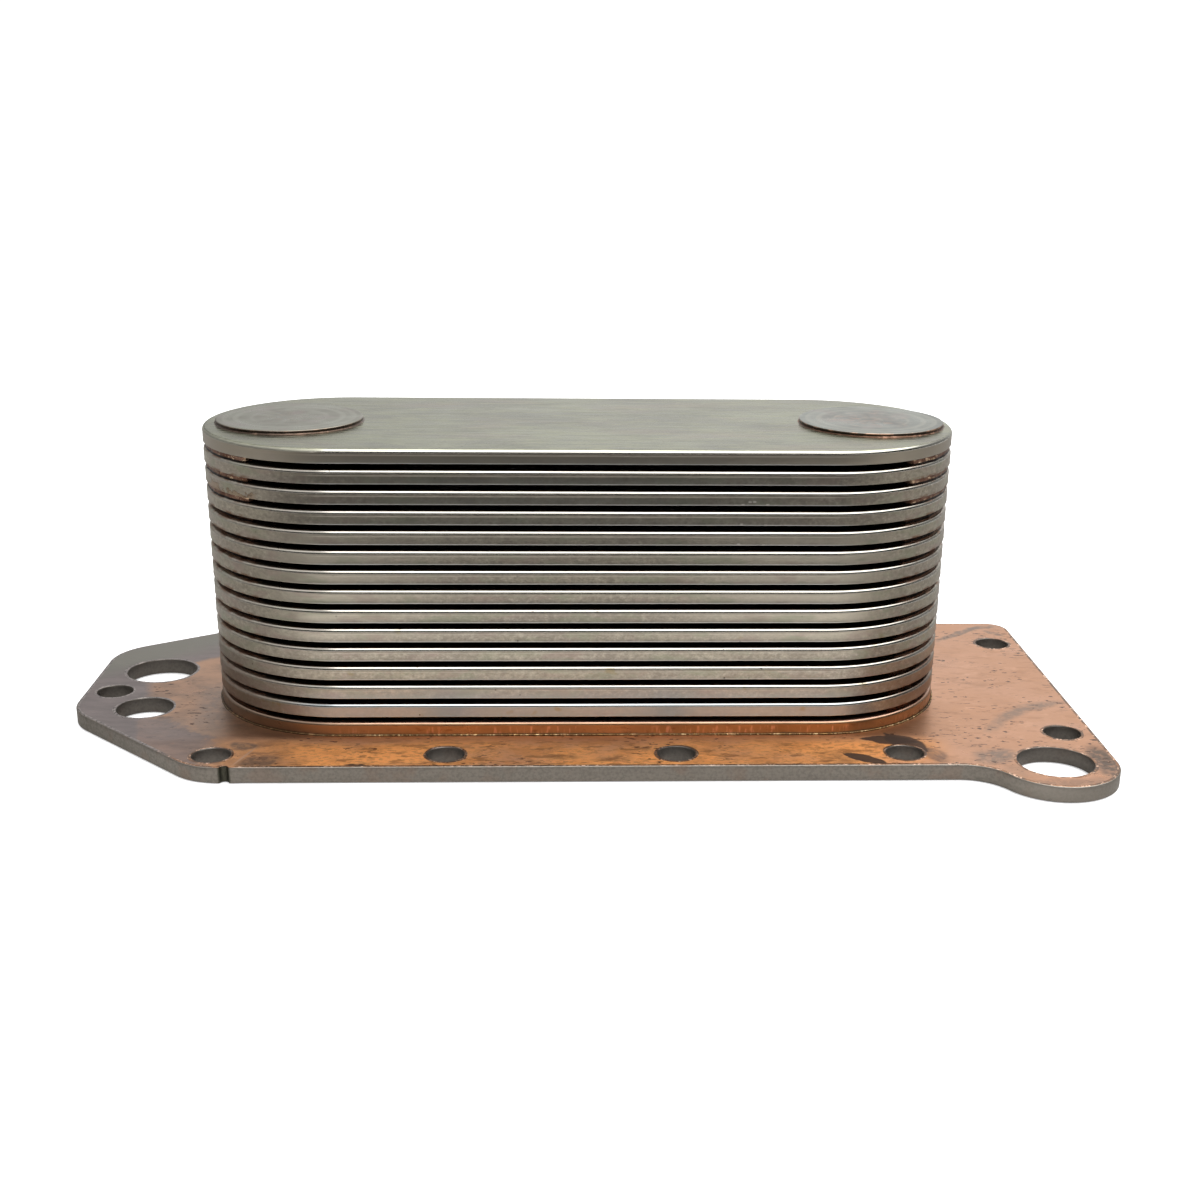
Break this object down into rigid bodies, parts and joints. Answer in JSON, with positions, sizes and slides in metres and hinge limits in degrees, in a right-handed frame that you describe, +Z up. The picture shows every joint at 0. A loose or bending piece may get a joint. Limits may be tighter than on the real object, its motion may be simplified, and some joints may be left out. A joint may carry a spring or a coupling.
{
  "type": "plate heat exchanger",
  "caption": "Brazed stacked-plate oil cooler core: round-ended hollow elements stacked on a flat copper-coated mounting plate with bolt holes, oil ports and round passages.",
  "frame": {"origin": "the middle of the mounting plate's underside, midway between the two oil ports", "axes": "+X along the stack towards the plate's lobed corner, +Y towards the plate's plain long edge, +Z up through the stack"},
  "size_m": [0.256, 0.1215, 0.0755],
  "materials": {
    "braze_coated_plate": "steel with a mottled copper braze skin",
    "braze_coated_lid": "steel wetted all over by copper braze",
    "element_steel": "satin stainless steel, straw and violet heat tint",
    "inner_steel": "dull stainless steel",
    "turbulator_steel": "thin steel with a copper flash",
    "spacer_steel": "steel covered in dark copper braze",
    "disc_steel": "satin steel with a copper-stained edge"
  },
  "bodies": {
    "root": {"base_plate": "braze_coated_plate", "element_01_lid": "braze_coated_lid", "element_01_pan": "inner_steel", "element_01_turbulator": "turbulator_steel", "element_02_lid": "element_steel", "element_02_pan": "inner_steel", "element_02_turbulator": "turbulator_steel", "element_03_lid": "element_steel", "element_03_pan": "inner_steel", "element_03_turbulator": "turbulator_steel", "element_04_lid": "element_steel", "element_04_pan": "inner_steel", "element_04_turbulator": "turbulator_steel", "element_05_lid": "element_steel", "element_05_pan": "inner_steel", "element_05_turbulator": "turbulator_steel", "element_06_lid": "element_steel", "element_06_pan": "inner_steel", "element_06_turbulator": "turbulator_steel", "element_07_lid": "element_steel", "element_07_pan": "inner_steel", "element_07_turbulator": "turbulator_steel", "element_08_lid": "element_steel", "element_08_pan": "inner_steel", "element_08_turbulator": "turbulator_steel", "element_09_lid": "element_steel", "element_09_pan": "inner_steel", "element_09_turbulator": "turbulator_steel", "element_10_lid": "element_steel", "element_10_pan": "inner_steel", "element_10_turbulator": "turbulator_steel", "element_11_lid": "element_steel", "element_11_pan": "inner_steel", "element_11_turbulator": "turbulator_steel", "element_12_lid": "element_steel", "element_12_pan": "inner_steel", "element_12_turbulator": "turbulator_steel", "element_13_lid": "element_steel", "element_13_pan": "inner_steel", "element_13_turbulator": "turbulator_steel", "element_14_lid": "element_steel", "element_14_pan": "inner_steel", "element_14_turbulator": "turbulator_steel", "element_15_lid": "element_steel", "element_15_pan": "inner_steel", "element_15_turbulator": "turbulator_steel", "left_port_spacers": "spacer_steel", "right_port_spacers": "spacer_steel", "left_end_disc": "disc_steel", "right_end_disc": "disc_steel"}
  },
  "joints": []
}
